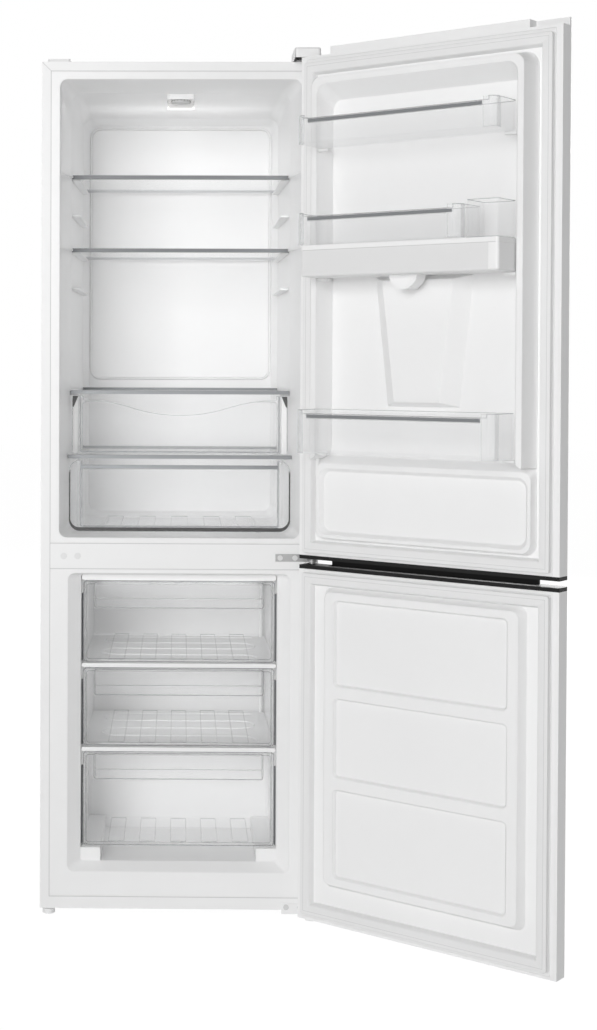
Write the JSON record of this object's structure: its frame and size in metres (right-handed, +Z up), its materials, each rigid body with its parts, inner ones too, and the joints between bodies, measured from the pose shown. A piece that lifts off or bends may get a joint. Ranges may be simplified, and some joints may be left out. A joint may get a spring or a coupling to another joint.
{
  "type": "bottom freezer refrigerator",
  "caption": "Upright refrigerator with a fridge compartment over a freezer, both doors open, glass shelves, door bins, a water tank, a crisper and clear freezer drawers.",
  "frame": {"origin": "on the floor, under the middle of the steel case", "axes": "+Z up, the front of the case faces -Y, +X to the viewer's right"},
  "size_m": [1.048, 1.0212, 1.872],
  "materials": {
    "white_steel": "satin",
    "grey_steel": "satin",
    "zinc_steel": "satin",
    "foam": "matte",
    "white_liner": "gloss",
    "white_plastic": "satin",
    "aluminium_sheet": "satin",
    "lens_plastic": "satin",
    "glass": "gloss",
    "silver_trim": "satin",
    "clear_plastic": "gloss",
    "grey_plastic": "satin",
    "black_paint": "satin",
    "black_rubber": "matte",
    "copper": "satin",
    "black_plastic": "satin",
    "grey_gasket": "matte"
  },
  "bodies": {
    "cabinet": {"base_pan": "white_steel", "bottom_hinge_bracket": "white_steel", "cabinet_foam": "foam", "compressor": "black_paint", "compressor_grommets": "black_rubber", "condenser": "black_paint", "cover_glasses": "glass", "cover_trims": "silver_trim", "crossbar_cover": "white_plastic", "evaporation_tray": "grey_plastic", "evaporator_plate": "aluminium_sheet", "filter_drier": "copper", "freezer_liner": "white_liner", "fridge_liner": "white_liner", "hinge_screws": "zinc_steel", "hole_covers": "white_plastic", "lamp_housing": "white_plastic", "lamp_lens": "lens_plastic", "middle_hinge_bracket": "white_steel", "outer_shell": "white_steel", "power_inlet": "black_plastic", "rear_panel": "grey_steel", "shelf_evaporator": "white_plastic", "top_hinge_bracket": "zinc_steel", "top_hinge_cover": "white_plastic"},
    "upper_door": {"upper_door_skin": "white_steel", "upper_door_foam": "foam", "upper_door_liner": "white_liner", "upper_door_gasket": "grey_gasket", "upper_door_top_cap": "white_plastic", "upper_door_bottom_cap": "black_plastic", "dispenser_niche": "grey_plastic"},
    "lower_door": {"lower_door_skin": "white_steel", "lower_door_foam": "foam", "lower_door_liner": "white_liner", "lower_door_gasket": "grey_gasket", "lower_door_top_cap": "black_plastic", "lower_door_bottom_cap": "white_plastic"},
    "upper_shelf": {"upper_shelf_glass": "glass", "upper_shelf_trims": "silver_trim"},
    "lower_shelf": {"lower_shelf_glass": "glass", "lower_shelf_trims": "silver_trim"},
    "chill_drawer": {"chill_tray": "clear_plastic"},
    "crisper": {"crisper_drawer": "clear_plastic"},
    "freezer_top": {"freezer_drawer_top": "clear_plastic"},
    "freezer_middle": {"freezer_drawer_middle": "clear_plastic"},
    "freezer_bottom": {"freezer_drawer_bottom": "clear_plastic"},
    "bin_top": {"top_bin": "clear_plastic"},
    "bin_middle": {"middle_bin": "clear_plastic"},
    "bin_bottom": {"bottom_bin": "clear_plastic"},
    "tank": {"water_tank": "white_liner", "tank_lid": "white_plastic", "tank_filler": "clear_plastic", "tank_valve": "white_plastic"},
    "lever": {"dispenser_lever": "grey_plastic"},
    "drip_drawer": {"drip_tray": "grey_plastic"},
    "dial": {"thermostat_dial": "white_plastic"},
    "foot_left": {"left_foot": "white_plastic"},
    "foot_right": {"right_foot": "white_plastic"},
    "rollers": {"rear_rollers": "grey_plastic"}
  },
  "joints": [
    {"name": "upper_door_hinge", "type": "hinge", "parent": "cabinet", "child": "upper_door", "pos_m": [0.2843, -0.3079, 0], "axis": [0, 0, 1], "range_deg": [-141.6, 5]},
    {"name": "lower_door_hinge", "type": "hinge", "parent": "cabinet", "child": "lower_door", "pos_m": [0.2843, -0.3079, 0], "axis": [0, 0, 1], "range_deg": [-141.6, 5]},
    {"name": "upper_shelf_slide", "type": "slide", "parent": "cabinet", "child": "upper_shelf", "axis": [0, -1, 0], "range_m": [0, 0.24]},
    {"name": "lower_shelf_slide", "type": "slide", "parent": "cabinet", "child": "lower_shelf", "axis": [0, -1, 0], "range_m": [0, 0.24]},
    {"name": "chill_tray_slide", "type": "slide", "parent": "cabinet", "child": "chill_drawer", "axis": [0, -1, 0], "range_m": [0, 0.23]},
    {"name": "crisper_slide", "type": "slide", "parent": "cabinet", "child": "crisper", "axis": [0, -1, 0], "range_m": [0, 0.26]},
    {"name": "freezer_top_slide", "type": "slide", "parent": "cabinet", "child": "freezer_top", "axis": [0, -1, 0], "range_m": [0, 0.25]},
    {"name": "freezer_middle_slide", "type": "slide", "parent": "cabinet", "child": "freezer_middle", "axis": [0, -1, 0], "range_m": [0, 0.25]},
    {"name": "freezer_bottom_slide", "type": "slide", "parent": "cabinet", "child": "freezer_bottom", "axis": [0, -1, 0], "range_m": [0, 0.19]},
    {"name": "top_bin_lift", "type": "slide", "parent": "upper_door", "child": "bin_top", "axis": [0, 0, 1], "range_m": [0, 0.025]},
    {"name": "middle_bin_lift", "type": "slide", "parent": "upper_door", "child": "bin_middle", "axis": [0, 0, 1], "range_m": [0, 0.025]},
    {"name": "bottom_bin_lift", "type": "slide", "parent": "upper_door", "child": "bin_bottom", "axis": [0, 0, 1], "range_m": [0, 0.025]},
    {"name": "tank_slide", "type": "slide", "parent": "upper_door", "child": "tank", "axis": [-0.6211, -0.7837, 0], "range_m": [0, 0.06]},
    {"name": "drip_tray_slide", "type": "slide", "parent": "upper_door", "child": "drip_drawer", "axis": [0.6211, 0.7837, 0], "range_m": [0, 0.035]},
    {"name": "lever_hinge", "type": "hinge", "parent": "upper_door", "child": "lever", "pos_m": [0.49505, -0.4997, 1.33], "axis": [-0.7837, 0.6211, 0], "range_deg": [0, 5], "stiffness_Nm_per_rad": 0.05, "springref_deg": -5.73},
    {"name": "dial_turn", "type": "hinge", "parent": "cabinet", "child": "dial", "pos_m": [0, -0.1275, 1.7985], "axis": [0, 0, 1], "range_deg": [-135, 135]},
    {"name": "left_foot_screw", "type": "hinge", "parent": "cabinet", "child": "foot_left", "pos_m": [-0.282, -0.2455, 0], "axis": [0, 0, 1], "continuous": true},
    {"name": "right_foot_screw", "type": "hinge", "parent": "cabinet", "child": "foot_right", "pos_m": [0.282, -0.2455, 0], "axis": [0, 0, 1], "continuous": true},
    {"name": "roller_axle", "type": "hinge", "parent": "cabinet", "child": "rollers", "pos_m": [0, 0.2415, 0.012], "axis": [1, 0, 0], "continuous": true}
  ]
}
